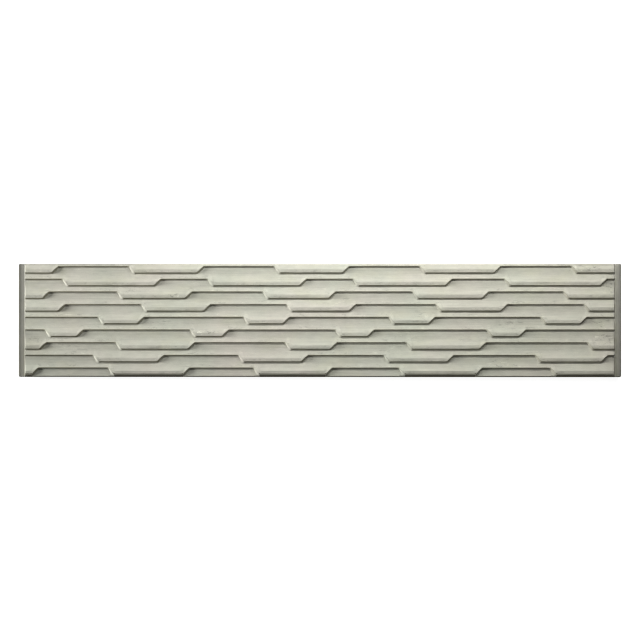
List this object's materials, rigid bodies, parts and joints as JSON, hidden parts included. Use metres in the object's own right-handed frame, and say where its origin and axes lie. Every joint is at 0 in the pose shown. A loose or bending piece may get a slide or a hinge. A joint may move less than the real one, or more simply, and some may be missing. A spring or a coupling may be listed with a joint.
{
  "type": "concrete fence board",
  "caption": "Cast concrete fence board with a stepped, scooped relief face and a plain tongue at each end that slides into a grooved post.",
  "frame": {"origin": "middle of the flat back, on the surface that the board lies on", "axes": "+X along the length, +Y towards the edge that is upper in a fence, +Z out of the relief face"},
  "size_m": [2, 0.376, 0.0448],
  "materials": {
    "concrete": "matte"
  },
  "bodies": {
    "root": {"fence_board": "concrete"}
  },
  "joints": []
}
